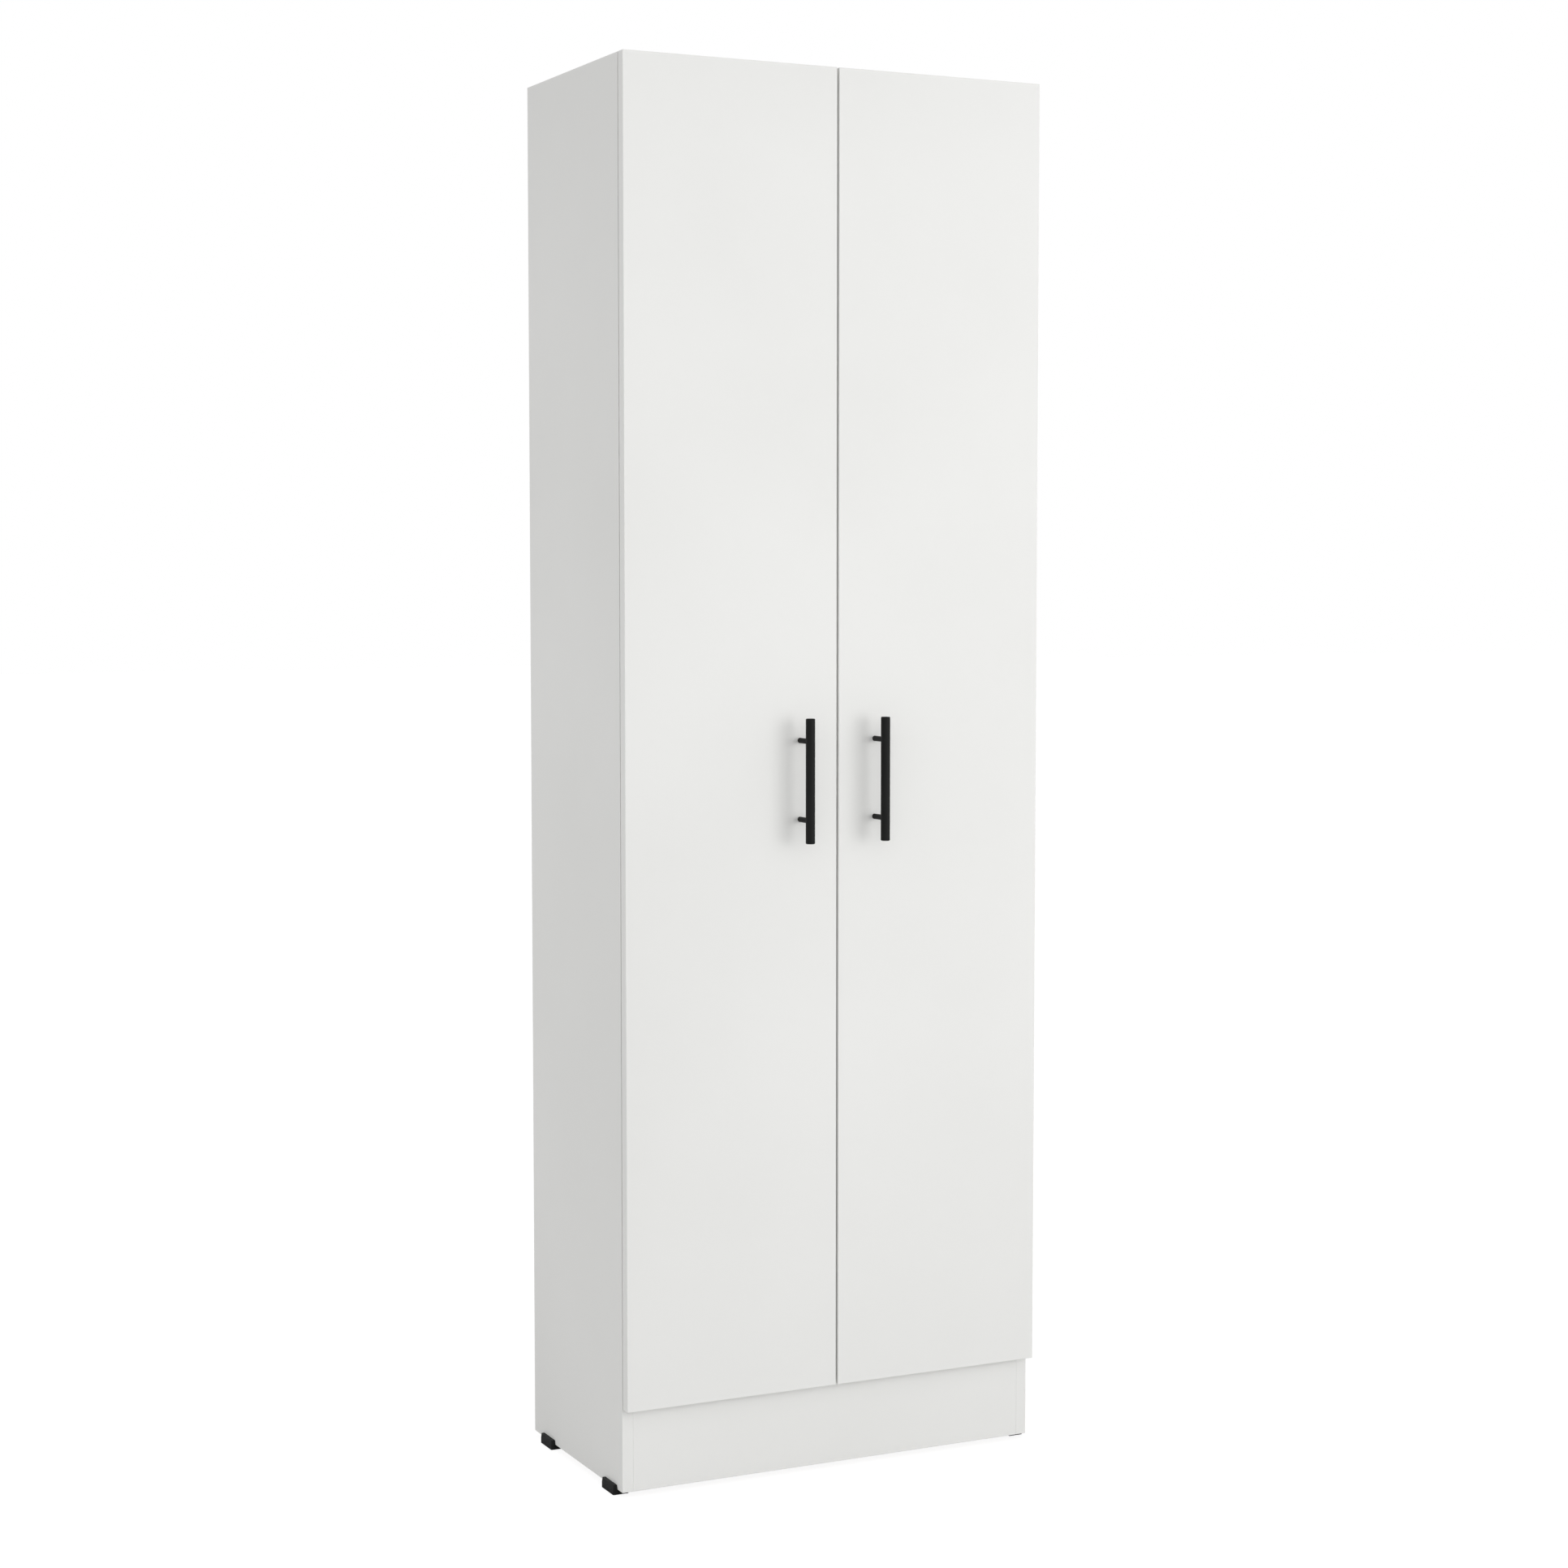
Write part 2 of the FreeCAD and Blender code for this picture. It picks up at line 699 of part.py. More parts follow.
def make_strip():
    """The H-shaped strip that joins the two leaves of the back board."""
    half, web = size("strip_width") / 2, size("strip_web") / 2
    inner = size("back_thick") / 2 + FIT
    outer = inner + size("strip_skin")
    right_half = [(half, outer), (half, inner), (web, inner), (web, -inner), (half, -inner), (half, -outer)]
    left_half = [(-across, -up) for across, up in right_half]
    low = FLOOR_TOP + FREE
    height = TOP_UNDER - FREE - low
    strip = padded("XY_Plane", right_half + left_half, height)
    place(strip, ZERO, BACK_FRONT + size("back_thick") / 2, low + height / 2)
    node(strip, "back_joint_strip")


# Wall brackets
def make_brackets():
    """Two angle brackets under the top panel, with a wall hole each."""
    leg, thick = size("bracket_leg"), size("bracket_thick")
    points = [(ZERO, ZERO), (ZERO, -leg), (-thick, -leg), (-thick, -thick), (-leg, -thick), (-leg, ZERO)]
    screws = []
    for side, x in bracket_places().items():
        angle = padded("YZ_Plane", points, size("bracket_width"))
        place(angle, x, BACK_FRONT, TOP_UNDER)
        reach = thick + OVERRUN * 2
        wall_hole = rod(x, BACK_FRONT + OVERRUN, BRACKET_HOLE_Z, size("wall_hole_diameter"), reach, "-y")
        screw_hole = rod(x, BRACKET_SCREW_Y, TOP_UNDER + OVERRUN, SCREW_HOLE, reach, "-z")
        node(cut(angle, [wall_hole, screw_hole]), f"{side}_wall_bracket")
        screws.append(screw(x, BRACKET_SCREW_Y, TOP_UNDER - thick, size("bracket_screw_length"), "+z"))
    group(screws, "bracket_screws")


# Dowels and cam fittings
def make_dowels():
    """All the wooden dowels."""
    dowels = []
    diameter, length = size("dowel_diameter"), size("dowel_length")
    for side in SIDES:
        start = outward(side, BOARD - size("dowel_side_depth"))
        for row, middle in SIDE_DOWELS:
            dowels.append(rod(start, row, middle, diameter, length, inward(side)))
    for row in dowel_rows(SHELF_FRONT, SHELF_BACK):
        dowels.append(rod(ZERO, row, FLOOR_TOP - size("dowel_side_depth"), diameter, length, "+z"))
        dowels.append(rod(ZERO, row, FIXED_UNDER + size("dowel_side_depth"), diameter, length, "-z"))
    group(dowels, "dowels")


def make_cam_bolts():
    """The bolts that stand out of the sides and reach into the cams."""
    bolts = []
    collar = size("cam_collar_length")
    head = size("cam_head_length")
    reach = size("cam_setback") + head / 2
    for side in SIDES:
        face = outward(side, BOARD)
        head_start = outward(side, BOARD + reach - head)
        for row, middle, facing in CAMS:
            thread_length = size("cam_bolt_side_depth")
            pieces = [
                rod(face, row, middle, size("cam_bolt_diameter"), thread_length, toward(side)),
                rod(face, row, middle, size("cam_bolt_diameter"), reach, inward(side)),
                rod(face, row, middle, size("cam_collar_diameter"), collar, inward(side)),
                rod(head_start, row, middle, size("cam_head_diameter"), head, inward(side)),
            ]
            bolts.append(fuse(pieces))
    group(bolts, "cam_bolts")


def make_cam_nuts():
    """The round cams that draw the bolts in, each with a driver cross."""
    nuts = []
    diameter = size("cam_diameter") - FREE
    for side in SIDES:
        for row, middle, facing in CAMS:
            blank = cam_seat(side, row, middle, facing, diameter, size("cam_height"))
            x = outward(side, BOARD + size("cam_setback"))
            mouth = outward(side, BOARD + size("cam_setback") - size("cam_diameter"))
            reach = size("cam_diameter") + size("cam_head_length")
            throat = rod(mouth, row, middle, size("cam_head_diameter") + FREE * 2, reach, inward(side))
            nuts.append(cut(blank, [throat] + cam_cross(x, row, middle, facing)))
    group(nuts, "cam_nuts")


def cam_cross(x, row, middle, facing):
    """The cross-shaped driver slot in a cam's face."""
    width, deep = size("cam_cross_width"), size("cam_cross_depth") * 2
    length = size("cam_diameter") / 2
    blades = []
    for across, other in ((length, width), (width, length)):
        if facing == "under":
            face = middle - BOARD / 2
            corner = (x - across / 2, row - other / 2, face - deep / 2)
            blades.append(box(*corner, across, other, deep))
        else:
            face = row + BOARD / 2
            corner = (x - across / 2, face - deep / 2, middle - other / 2)
            blades.append(box(*corner, across, deep, other))
    return blades


# Feet
def make_feet():
    """Four nail-on feet, each with a lip that laps up the outside of a side panel."""
    lip_top, lip_base = size("foot_lip_top"), size("foot_lip_base")
    lip_rise, sole = size("foot_lip_height"), -size("foot_height")
    points = [
        (-BOARD, ZERO), (-BOARD, sole), (lip_base, sole), (lip_base, ZERO),
        (lip_top, lip_rise), (ZERO, lip_rise), (ZERO, ZERO),
    ]
    half, lip_half = size("foot_length") / 2, size("foot_lip_length") / 2
    ends = [(half, sole), (half, ZERO), (lip_half, lip_rise), (-lip_half, lip_rise), (-half, ZERO), (-half, sole)]
    for side in SIDES:
        for end, row in FOOT_ROWS.items():
            section = padded("XZ_Plane", points, size("foot_length"))
            rounded(section, size("foot_round"), outer_corners(section))
            turn = 180 if side == "left" else 0
            section.Placement.Rotation = FreeCAD.Rotation(FreeCAD.Vector(0, 0, 1), turn)
            elevation = padded("YZ_Plane", ends, (BOARD + lip_base) * 2)
            rounded(elevation, size("foot_corner"), lower_corners(elevation))
            body = doc.addObject("Part::Common", "foot")
            body.Base = section
            body.Tool = elevation
            for shape in (section, elevation):
                place(shape, outward(side, ZERO), row, BASE)
            holes = []
            for sign in (-1, 1):
                y = row + size("nail_spacing") / 2 * sign
                x = outward(side, BOARD / 2)
                shank_hole = size("nail_diameter") + FIT * 2
                holes.append(rod(x, y, -OVERRUN, shank_hole, BASE + OVERRUN * 2, "+z"))
                head_hole = size("nail_head_diameter") + FIT * 2
                holes.append(rod(x, y, -OVERRUN, head_hole, NAIL_SEAT + OVERRUN, "+z"))
            node(cut(body, holes), f"{end}_{side}_foot")


def outer_corners(body):
    """The names of the rising edges at a foot's two outer ends."""
    names = []
    for index, edge in enumerate(body.Shape.Edges, start=1):
        first, last = edge.Vertexes[0].Point, edge.Vertexes[-1].Point
        rises = abs(last.z - first.z) > FIT.value
        if rises and min(first.x, last.x) > FIT.value:
            names.append(f"Edge{index}")
    return names


def lower_corners(body):
    """The names of the edges that run across a foot at its two lower ends."""
    names = []
    low = body.Shape.BoundBox.ZMin
    for index, edge in enumerate(body.Shape.Edges, start=1):
        first, last = edge.Vertexes[0].Point, edge.Vertexes[-1].Point
        crosses = abs(last.x - first.x) > FIT.value
        if crosses and max(first.z, last.z) < low + FIT.value:
            names.append(f"Edge{index}")
    return names


def make_nails():
    """The nails that hold the feet."""
    nails = []
    for side in SIDES:
        for x, y in nail_places(side):
            head_low = NAIL_SEAT - size("nail_head_height")
            head = rod(x, y, head_low, size("nail_head_diameter"), size("nail_head_height"), "+z")
            shank = rod(x, y, NAIL_SEAT, size("nail_diameter"), size("nail_length"), "+z")
            nails.append(fuse([head, shank]))
    group(nails, "foot_nails")


# Doors and handles
HANDLE_Z = BASE + size("handle_height")
HANDLE_X = {side: outward(side, DOOR_WIDTH - size("handle_edge_inset")) for side in SIDES}
POST_HEIGHTS = [HANDLE_Z - size("post_spacing") / 2, HANDLE_Z + size("post_spacing") / 2]
BAR_Y = DOOR_FRONT - size("bar_reach")
POST_TIP = BAR_Y + size("bar_diameter") / 2 - size("bar_socket_depth")
POST_LENGTH = DOOR_FRONT - POST_TIP
HANDLE_SCREW_GRIP = size("handle_screw_grip")
BUMPER_HEIGHTS = [DOOR_BOTTOM + BOARD / 2, TOP - BOARD / 2]


def make_door(side):
    """A door leaf, bored for its hinge cups, cup screws and handle screws."""
    low = span(side, ZERO, DOOR_WIDTH)
    blank = board(low, DOOR_FRONT, DOOR_BOTTOM, DOOR_WIDTH, size("door_thick"), DOOR_HEIGHT)
    cuts = []
    cup_bore = size("cup_diameter") + FIT * 2
    for height in HINGE_HEIGHTS:
        x = outward(side, CUP_MIDDLE)
        cuts.append(rod(x, DOOR_BACK, height, cup_bore, size("cup_depth") + FIT, "-y"))
        for level in cup_screw_heights(height):
            screw_x = outward(side, CUP_SCREW_INSET)
            cuts.append(rod(screw_x, DOOR_BACK, level, SCREW_HOLE, size("cup_screw_length"), "-y"))
    for level in POST_HEIGHTS:
        reach = size("door_thick") + OVERRUN * 2
        cuts.append(rod(HANDLE_X[side], DOOR_FRONT - OVERRUN, level, SCREW_HOLE, reach, "+y"))
    node(cut(blank, cuts), f"{side}_door")


def make_handle(side):
    """A bar handle: the bar, the two posts pressed into it and the screws behind the door."""
    radius, half = size("bar_diameter") / 2, size("bar_length") / 2
    chamfer = size("bar_chamfer")
    points = [
        (ZERO, -half), (radius - chamfer, -half), (radius, chamfer - half),
        (radius, half - chamfer), (radius - chamfer, half), (ZERO, half),
    ]
    body = doc.addObject("PartDesign::Body", "bar")
    turned = body.newObject("PartDesign::Revolution", "turned")
    turned.Profile = outline(body, "XZ_Plane", points)
    turned.ReferenceAxis = (turned.Profile[0], ["V_Axis"])
    turned.Angle = 360
    doc.recompute()
    place(body, HANDLE_X[side], BAR_Y, HANDLE_Z)
    sockets, posts, screws = [], [], []
    for level in POST_HEIGHTS:
        x = HANDLE_X[side]
        socket = size("post_diameter") + FIT * 2
        sockets.append(rod(x, POST_TIP, level, socket, POST_LENGTH, "+y"))
        post = rod(x, POST_TIP, level, size("post_diameter"), POST_LENGTH, "+y")
        thread = rod(x, DOOR_FRONT, level, SCREW_HOLE, HANDLE_SCREW_GRIP + FREE, "-y")
        posts.append(cut(post, [thread]))
        length = size("door_thick") + HANDLE_SCREW_GRIP
        screws.append(screw(x, DOOR_BACK, level, length, "-y"))
    node(cut(body, sockets), f"{side}_handle_bar")
    group(posts, f"{side}_handle_posts")
    group(screws, f"{side}_handle_screws")


def make_bumpers(side):
    """Two soft bumpers on the back of a door's free edge."""
    x = outward(side, DOOR_WIDTH - size("bumper_edge_inset"))
    thick = size("door_standoff") - size("bumper_clear")
    bumpers = [rod(x, DOOR_BACK, level, size("bumper_diameter"), thick, "+y") for level in BUMPER_HEIGHTS]
    group(bumpers, f"{side}_door_bumpers")


# Hinges
def make_hinges(side):
    """All of one door's hinges, one node for each kind of piece."""
    cups, pins, arms, plates = [], [], [], []
    cup_screws, plate_screws, arm_screws = [], [], []
    for height in HINGE_HEIGHTS:
        cups.append(hinge_cup(side, height))
        pins.append(hinge_pin(side, height))
        arms.append(hinge_arm(side, height))
        plates.append(hinge_plate(side, height))
        for level in cup_screw_heights(height):
            seat = DOOR_BACK + size("cup_rim_thick")
            x = outward(side, CUP_SCREW_INSET)
            cup_screws.append(screw(x, seat, level, size("cup_screw_length"), "-y"))
        for level in plate_screw_heights(height):
            seat = outward(side, BOARD + size("plate_wing_thick"))
            plate_screws.append(screw(seat, PLATE_MIDDLE, level, size("plate_screw_length"), toward(side)))
        seat = outward(side, ARM_FAR)
        arm_screws.append(screw(seat, PLATE_MIDDLE, height, ARM_FAR - BOARD, toward(side)))
    group(cups, f"{side}_hinge_cups")
    group(pins, f"{side}_hinge_pins")
    group(arms, f"{side}_hinge_arms")
    group(plates, f"{side}_hinge_plates")
    group(cup_screws, f"{side}_cup_screws")
    group(plate_screws, f"{side}_plate_screws")
    group(arm_screws, f"{side}_arm_screws")


PIN_HALF = size("hinge_pin_length") / 2


def hinge_pin(side, height):
    """The steel pin across a hinge cup."""
    x = outward(side, size("hinge_axis_inset"))
    return rod(x, AXIS_Y, height - PIN_HALF, size("hinge_pin_diameter"), PIN_HALF * 2, "+z")


def hinge_cup(side, height):
    """A pressed cup with a round rim and two screw wings, holed for the pin."""
    x = outward(side, CUP_MIDDLE)
    rim_top = DOOR_BACK + size("cup_rim_thick")
    shell = rod(x, DOOR_BACK, height, size("cup_diameter"), size("cup_depth"), "-y")
    rim = rod(x, DOOR_BACK, height, size("cup_rim_diameter"), size("cup_rim_thick"), "+y")
    wing_width, wing_span = size("cup_wing_width"), size("cup_wing_span")
    wing_low = span(side, CUP_SCREW_INSET - wing_width / 2, CUP_SCREW_INSET + wing_width / 2)
    corner = (wing_low, DOOR_BACK, height - wing_span / 2)
    wings = box(*corner, wing_width, size("cup_rim_thick"), wing_span)
    hollow_diameter = size("cup_diameter") - size("cup_wall") * 2
    hollow_depth = size("cup_depth") - size("cup_wall") + size("cup_rim_thick") + OVERRUN
    cuts = [rod(x, rim_top + OVERRUN, height, hollow_diameter, hollow_depth, "-y")]
    pin_hole = size("hinge_pin_diameter") + FIT * 2
    pin_x = outward(side, size("hinge_axis_inset"))
    for level in cup_screw_heights(height):
        screw_x = outward(side, CUP_SCREW_INSET)
        reach = size("cup_rim_thick") + OVERRUN * 2
        cuts.append(rod(screw_x, rim_top + OVERRUN, level, SCREW_HOLE, reach, "-y"))
    notch_width = size("arm_width") + FREE * 2
    notch_low = span(side, ZERO, size("hinge_axis_inset"))
    notch_rise = size("cup_notch_depth") + size("cup_rim_thick") + OVERRUN
    notch_corner = (notch_low, DOOR_BACK - size("cup_notch_depth"), height - notch_width / 2)
    cuts.append(box(*notch_corner, size("hinge_axis_inset"), notch_rise, notch_width))
    pressed = cut(fuse([shell, rim, wings]), cuts)
    bores = [rod(pin_x, AXIS_Y, height - PIN_HALF, pin_hole, PIN_HALF * 2, "+z")]
    return cut(fuse([pressed] + pin_ears(side, height)), bores)


def pin_ears(side, height):
    """The two ears inside a hinge cup that hold the pin, trimmed to the cup's outside."""
    inset, eye = size("hinge_axis_inset"), size("hinge_eye_diameter")
    inner = size("hinge_eye_width") / 2 + FREE
    width = PIN_HALF - inner
    floor = DOOR_BACK - size("cup_depth")
    ears = []
    for low in (height + inner, height - PIN_HALF):
        boss = rod(outward(side, inset), AXIS_Y, low, eye, width, "+z")
        web_low = span(side, size("cup_edge"), inset)
        web = box(web_low, floor, low, inset - size("cup_edge"), AXIS_Y - floor, width)
        trimmed = doc.addObject("Part::Common", "ear")
        trimmed.Base = fuse([boss, web])
        middle = outward(side, CUP_MIDDLE)
        trimmed.Tool = rod(middle, DOOR_BACK, height, size("cup_diameter"), size("cup_depth"), "-y")
        ears.append(trimmed)
    return ears


def hinge_arm(side, height):
    """A bent steel arm: a leg along the side panel, a foot into the cup and an eye on the pin."""
    thick, width = size("arm_thick"), size("arm_width")
    low = height - width / 2
    front = AXIS_Y - thick / 2
    inset, eye_width = size("hinge_axis_inset"), size("hinge_eye_width")
    neck_end = inset + size("hinge_eye_diameter") / 2 + FREE
    eye_low = height - eye_width / 2
    neck = box(span(side, inset, ARM_NEAR), front, eye_low, ARM_NEAR - inset, thick, eye_width)
    foot = box(span(side, neck_end, ARM_FAR), front, low, ARM_FAR - neck_end, thick, width)
    leg_run = size("arm_length") + size("hinge_axis_depth")
    leg = box(span(side, ARM_NEAR, ARM_FAR), front, low, thick, leg_run, width)
    eye_x = outward(side, inset)
    eye = rod(eye_x, AXIS_Y, eye_low, size("hinge_eye_diameter"), eye_width, "+z")
    pin_hole = size("hinge_pin_diameter") + FIT * 2
    bore = rod(eye_x, AXIS_Y, low - OVERRUN, pin_hole, width + OVERRUN * 2, "+z")
    reach = thick + OVERRUN * 2
    hole = rod(outward(side, ARM_FAR + OVERRUN), PLATE_MIDDLE, height, SCREW_HOLE, reach, toward(side))
    return cut(fuse([neck, foot, leg, eye]), [bore, hole])


def hinge_plate(side, height):
    """A mounting plate: a block under the arm with a wing above and below it."""
    length, block_width = size("plate_length"), size("plate_block_width")
    block_low = span(side, BOARD, ARM_NEAR)
    start = PLATE_MIDDLE - length / 2
    block = box(block_low, start, height - block_width / 2, ARM_NEAR - BOARD, length, block_width)
    wing_thick, wing_width = size("plate_wing_thick"), size("plate_wing_width")
    wing_low = span(side, BOARD, BOARD + wing_thick)
    corner = (wing_low, PLATE_MIDDLE - wing_width / 2, height - size("plate_span") / 2)
    wing = box(*corner, wing_thick, wing_width, size("plate_span"))
    reach = size("arm_offset") + OVERRUN * 2
    mouth = outward(side, ARM_NEAR + OVERRUN)
    levels = plate_screw_heights(height) + [height]
    cuts = [rod(mouth, PLATE_MIDDLE, level, SCREW_HOLE, reach, toward(side)) for level in levels]
    return cut(fuse([block, wing]), cuts)


def build():
    """Make every sub-part."""
    for side in SIDES:
        make_side(side)
    make_top()
    make_bottom()
    make_plinth()
    make_fixed_shelf()
    make_divider()
    make_backs()
    make_strip()
    make_loose_shelves()
    make_pins()
    make_dowels()
    make_cam_bolts()
    make_cam_nuts()
    make_feet()
    make_nails()
    make_brackets()
    for side in SIDES:
        make_door(side)
        make_handle(side)
        make_bumpers(side)
        make_hinges(side)


def write_parts():
    """Check the whole document, then write each sub-part to its own file."""
    doc.recompute()
    for item in doc.Objects:
        if "Invalid" in item.State or "Error" in item.State:
            raise RuntimeError(f"{item.Label} failed: {item.State}")
    finished = [doc.getObject(name) for name in NODE_NAMES]
    for item in finished:
        if item.Shape.isNull() or not item.Shape.isValid():
            raise RuntimeError(f"{item.Label} has no valid shape")
    os.makedirs("parts", exist_ok=True)
    for item in finished:
        item.Shape.exportStep(f"parts/{item.Label}.step")
        print(item.Label, len(item.Shape.Solids), round(item.Shape.Volume / 1000, 2))


build()
write_parts()
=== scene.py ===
# %% [markdown]
# A white broom cupboard, as sold in a flat pack: white-faced boards, two tall doors, black bar handles
# and small black feet. Its solids are already made to size, so this script could model everything again
# or dress what is there. It dresses the solids, because their joints and sizes are right, and spends its
# effort on finishes, light and the camera.

# %% Load the solids
import json
import math

import bpy
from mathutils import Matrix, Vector


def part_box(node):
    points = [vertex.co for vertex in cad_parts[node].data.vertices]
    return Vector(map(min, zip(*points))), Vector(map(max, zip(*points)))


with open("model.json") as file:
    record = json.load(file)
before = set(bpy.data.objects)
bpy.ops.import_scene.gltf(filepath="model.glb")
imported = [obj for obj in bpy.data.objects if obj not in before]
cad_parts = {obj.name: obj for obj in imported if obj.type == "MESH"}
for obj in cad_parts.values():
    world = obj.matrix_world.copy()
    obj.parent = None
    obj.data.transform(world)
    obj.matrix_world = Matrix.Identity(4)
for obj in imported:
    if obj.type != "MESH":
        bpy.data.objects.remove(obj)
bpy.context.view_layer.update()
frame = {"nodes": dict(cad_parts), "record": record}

nodes = frame["nodes"]
slot_of = {row["node"]: row["material_slot"] for row in frame["record"]["subparts"]}

# %% [markdown]
# A finish in Blender is a small graph of nodes. Each node could be added and linked line by line, which
# takes four lines a node. These helpers place a node, set it and link it in one call, so that each finish
# below reads as a list of what it is made of.

# %% Helpers that place nodes


def put(tree, kind, inputs=None, **fields):
    """Place a node, set its fields, and fill its sockets with plain values or links."""
    made = tree.nodes.new(kind)
    for field, value in fields.items():
        setattr(made, field, value)
    for key, value in (inputs or {}).items():
        if isinstance(value, bpy.types.NodeSocket):
            tree.links.new(value, made.inputs[key])
        else:
            made.inputs[key].default_value = value
    return made


def maths(tree, operation, first, second=0.0, third=0.0):
    """One sum, as a Math node."""
    terms = {0: first, 1: second, 2: third}
    return put(tree, "ShaderNodeMath", terms, operation=operation).outputs[0]


def vector_maths(tree, operation, first, second):
    """One sum on vectors, as a Vector Math node."""
    return put(tree, "ShaderNodeVectorMath", {0: first, 1: second}, operation=operation)


def split(tree, vector):
    """The x, y and z of a vector."""
    return put(tree, "ShaderNodeSeparateXYZ", {0: vector}).outputs


def ramp(tree, value, start, stop, low=0.0, high=1.0):
    """A smooth step from low to high while the value goes from start to stop."""
    steps = {0: value, 1: start, 2: stop, 3: low, 4: high}
    return put(tree, "ShaderNodeMapRange", steps, interpolation_type="SMOOTHSTEP").outputs[0]


def mixed(tree, share, first, second):
    """Two colours mixed by a share from 0 to 1."""
    return put(tree, "ShaderNodeMix", {0: share, 6: first, 7: second}, data_type="RGBA").outputs[2]


print("node helpers ready")

# %% [markdown]
# A pattern has to stay on its board when a door swings. It could be laid out on a flattened copy of the
# surface, but boards with drilled holes flatten badly. So every pattern here is measured on the solid's own
# axes, in metres, and moves with it.

# %% Helpers that lay patterns on a solid


def place_on(tree):
    """Where a point lies on its own solid, in metres."""
    return put(tree, "ShaderNodeTexCoord").outputs["Object"]


def facing(tree):
    """Which way a point of the surface faces, on its own solid's axes."""
    return put(tree, "ShaderNodeTexCoord").outputs["Normal"]


def drawn_out(tree, stretch):
    """Where a point lies, with each axis multiplied; less than 1 draws a pattern out along that axis."""
    return vector_maths(tree, "MULTIPLY", place_on(tree), stretch).outputs[0]


def noise(tree, where, scale, detail=2.0):
    """A soft random pattern with so many features to the metre."""
    return put(tree, "ShaderNodeTexNoise", {"Vector": where, "Scale": scale, "Detail": detail}).outputs[0]


print("pattern helpers ready")

# %% [markdown]
# Some effects are wanted in many finishes. Their nodes could be built again in each, but then a change has
# to be made many times. A node group is built once, with named sockets, and each finish places it with its
# own values.

# %% Helpers for shared groups


def new_group(name, inputs, outputs):
    """An empty node group with named sockets; returns the tree, its inputs and its outputs."""
    tree = bpy.data.node_groups.new(name, "ShaderNodeTree")
    for label, kind, value in inputs:
        socket = tree.interface.new_socket(name=label, in_out="INPUT", socket_type="NodeSocket" + kind)
        socket.default_value = value
    for label, kind in outputs:
        tree.interface.new_socket(name=label, in_out="OUTPUT", socket_type="NodeSocket" + kind)
    return tree, tree.nodes.new("NodeGroupInput").outputs, tree.nodes.new("NodeGroupOutput").inputs


def spaced(values):
    """Values under their sockets' names; a name in Python can't hold a space, so _ stands for it."""
    return {label.replace("_", " "): value for label, value in values.items()}


def use(tree, group, **values):
    """Place a shared group in a finish, with its own values."""
    return put(tree, "ShaderNodeGroup", spaced(values), node_tree=group).outputs


print("group helpers ready")

# %% [markdown]
# Drilled holes and saw grooves cut through the white face and show brown chips inside. The face could be
# painted by hand, face by face. Instead a group measures how deep a point lies inside the board's own box:
# on the outside it is zero, and inside a hole it is more, so one rule finds every hole. The same measure
# finds the board's edges and the hairline where the edging strip is glued on.

# %% Group: layers of a faced board
FACE_DEPTH = 0.0003
EDGE_REACH = 0.004
STRIP_THICK = 0.0009
HAIRLINE = 0.00016


def make_board_layers():
    """Masks for the chip core, the edges and the edging joint of a board with a given box."""
    sockets = [("Low Corner", "Vector", (0, 0, 0)), ("High Corner", "Vector", (1, 1, 1))]
    masks = [("Core", "Float"), ("Edge", "Float"), ("Joint", "Float")]
    tree, given, out = new_group("board_layers", sockets, masks)
    where = place_on(tree)
    from_low = vector_maths(tree, "SUBTRACT", where, given["Low Corner"]).outputs[0]
    from_high = vector_maths(tree, "SUBTRACT", given["High Corner"], where).outputs[0]
    x, y, z = split(tree, vector_maths(tree, "MINIMUM", from_low, from_high).outputs[0])
    least = maths(tree, "MINIMUM", maths(tree, "MINIMUM", x, y), z)
    most = maths(tree, "MAXIMUM", maths(tree, "MAXIMUM", x, y), z)
    total = maths(tree, "ADD", maths(tree, "ADD", x, y), z)
    second = maths(tree, "SUBTRACT", maths(tree, "SUBTRACT", total, least), most)
    tree.links.new(ramp(tree, least, FACE_DEPTH, FACE_DEPTH * 2), out["Core"])
    tree.links.new(ramp(tree, second, 0.0, EDGE_REACH, 1.0, 0.0), out["Edge"])
    off_line = maths(tree, "ABSOLUTE", maths(tree, "SUBTRACT", second, STRIP_THICK))
    tree.links.new(ramp(tree, off_line, 0.0, HAIRLINE, 1.0, 0.0), out["Joint"])
    return tree


board_layers = make_board_layers()
print(board_layers.name, "made")

# %% [markdown]
# Chipboard is pressed from wood flakes. A photo of it would do, but no picture files are used here, so the
# flakes are cells of a Voronoi pattern, each with its own brown, and a finer noise roughens them.

# %% Group: chip core
CHIP_PALE = (0.50, 0.35, 0.20, 1)
CHIP_DARK = (0.22, 0.13, 0.07, 1)
FLAKES_TO_THE_METRE = 500.0
SPLINTERS_TO_THE_METRE = 2500.0


def make_chip_core():
    """The brown flakes of chipboard, as a colour and a height."""
    sockets = [("Scale", "Float", FLAKES_TO_THE_METRE)]
    tree, given, out = new_group("chip_core", sockets, [("Color", "Color"), ("Height", "Float")])
    where = place_on(tree)
    cells = put(tree, "ShaderNodeTexVoronoi", {"Vector": where, "Scale": given["Scale"]})
    one_each = put(tree, "ShaderNodeSeparateColor", {0: cells.outputs["Color"]}).outputs[0]
    fine = noise(tree, where, SPLINTERS_TO_THE_METRE)
    tree.links.new(mixed(tree, maths(tree, "MULTIPLY", one_each, fine), CHIP_PALE, CHIP_DARK), out["Color"])
    tree.links.new(maths(tree, "ADD", one_each, fine), out["Height"])
    return tree


chip_core = make_chip_core()
print(chip_core.name, "made")

